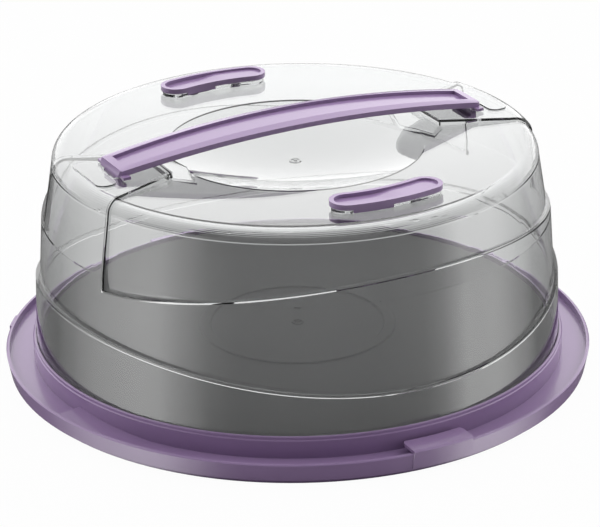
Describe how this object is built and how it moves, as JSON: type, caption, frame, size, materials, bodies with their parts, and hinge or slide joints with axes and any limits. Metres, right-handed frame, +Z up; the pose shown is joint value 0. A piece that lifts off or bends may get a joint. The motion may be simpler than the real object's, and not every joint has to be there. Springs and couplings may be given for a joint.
{
  "type": "cake carrier",
  "caption": "Round cake carrier: shallow rimmed tray with a serving plate, clear domed cover with an arched strap handle and sliding vent covers on top.",
  "frame": {"origin": "centre of the underside of the tray's foot ring, on the table", "axes": "+Z up, X along the handle, Y through the two vent covers, -Y is the front"},
  "size_m": [0.34, 0.3416, 0.1504],
  "materials": {
    "lilac_plastic": "satin moulded polypropylene, dusty lilac",
    "grey_plastic": "fine-grained moulded polypropylene, mid grey",
    "clear_plastic": "clear moulded styrene plastic, smooth and glossy"
  },
  "bodies": {
    "base": {"base_tray": "lilac_plastic", "serving_plate": "grey_plastic"},
    "dome": {"dome_cover": "clear_plastic"},
    "strap": {"handle": "lilac_plastic"},
    "front_vent": {"front_cap": "lilac_plastic"},
    "rear_vent": {"rear_cap": "lilac_plastic"}
  },
  "joints": [
    {"name": "dome_lift", "type": "slide", "parent": "base", "child": "dome", "axis": [0, 0, 1], "range_m": [0, 0.15]},
    {"name": "handle_lift", "type": "slide", "parent": "dome", "child": "strap", "axis": [0, 0, 1], "range_m": [0, 0.004]},
    {"name": "front_vent_turn", "type": "hinge", "parent": "dome", "child": "front_vent", "pos_m": [0, 0, 0.13], "axis": [0, 0, 1], "range_deg": [0, 4.2]},
    {"name": "rear_vent_turn", "type": "hinge", "parent": "dome", "child": "rear_vent", "pos_m": [0, 0, 0.13], "axis": [0, 0, -1], "range_deg": [0, 4.2]}
  ]
}
